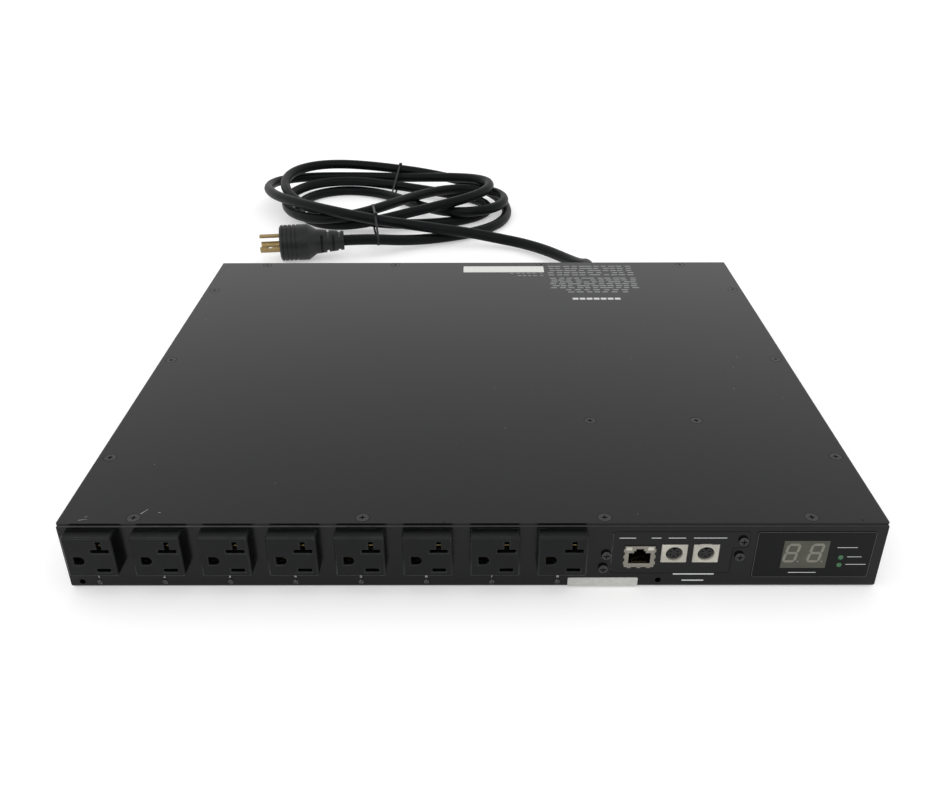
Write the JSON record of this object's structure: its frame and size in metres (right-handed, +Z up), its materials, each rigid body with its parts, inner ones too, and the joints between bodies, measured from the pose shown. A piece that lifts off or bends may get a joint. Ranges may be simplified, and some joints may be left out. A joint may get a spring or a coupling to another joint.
{
  "type": "rack power distribution unit",
  "caption": "Low flat black case with rows of raised mains sockets front and back, a network card, a digit display and a coiled line cord with a locking plug.",
  "frame": {"origin": "middle of the case's base", "axes": "+X to the right as seen from the front, +Y to the back, +Z up"},
  "size_m": [0.458, 0.753, 0.044],
  "materials": {
    "black_coat": "satin powder coat",
    "black_screw": "black oxide",
    "socket_plastic": "fine grain",
    "contact_brass": "bare",
    "gold_plate": "plated",
    "circuit_board": "solder mask",
    "relay_plastic": "moulded",
    "clear_lamp": "clear lens",
    "green_lamp": "tinted lens",
    "black_film": "smooth film",
    "display_grey": "smooth",
    "nickel_plate": "satin nickel",
    "port_shell": "moulded",
    "black_insert": "moulded",
    "zinc_steel": "zinc plated",
    "black_nylon": "moulded",
    "core_steel": "varnished stack",
    "winding_tape": "taped",
    "capacitor_sleeve": "shrink sleeve",
    "sensor_resin": "potted",
    "terminal_plastic": "moulded",
    "copper": "bare copper",
    "cord_rubber": "satin jacket",
    "plug_rubber": "moulded"
  },
  "bodies": {
    "root": {"board_screws": "zinc_steel", "board_standoffs": "zinc_steel", "card_bay": "zinc_steel", "card_board": "circuit_board", "card_faceplate": "black_coat", "card_guides": "black_nylon", "card_screws": "black_screw", "chassis_tray": "black_coat", "config_port": "port_shell", "cord_boot": "cord_rubber", "cord_ties": "black_nylon", "cover_screws": "black_screw", "current_sensor": "sensor_resin", "display_board": "circuit_board", "display_module": "display_grey", "display_overlay": "black_film", "front_socket_1": "socket_plastic", "front_socket_2": "socket_plastic", "front_socket_3": "socket_plastic", "front_socket_4": "socket_plastic", "front_socket_5": "socket_plastic", "front_socket_6": "socket_plastic", "front_socket_7": "socket_plastic", "front_socket_8": "socket_plastic", "gland_bodies": "black_nylon", "gland_caps": "black_nylon", "gland_nuts": "black_nylon", "ground_stud": "zinc_steel", "input_lights": "green_lamp", "input_terminals": "terminal_plastic", "light_board": "circuit_board", "network_jack": "nickel_plate", "network_jack_contacts": "gold_plate", "network_jack_insert": "black_insert", "outlet_boards": "circuit_board", "outlet_lights": "clear_lamp", "outlet_relays": "relay_plastic", "plug_blades": "contact_brass", "plug_body": "plug_rubber", "port_inserts": "black_insert", "power_conductors": "copper", "power_cord_coil": "cord_rubber", "power_cord_lead": "cord_rubber", "power_cord_tail": "cord_rubber", "rear_socket_1": "socket_plastic", "rear_socket_2": "socket_plastic", "rear_socket_3": "socket_plastic", "rear_socket_4": "socket_plastic", "rear_socket_5": "socket_plastic", "rear_socket_6": "socket_plastic", "rear_socket_7": "socket_plastic", "rear_socket_8": "socket_plastic", "sensor_port": "port_shell", "socket_contacts": "contact_brass", "supply_capacitors": "capacitor_sleeve", "top_cover": "black_coat", "transfer_board": "circuit_board", "transfer_relays": "relay_plastic", "transformer_core": "core_steel", "transformer_winding": "winding_tape"}
  },
  "joints": []
}
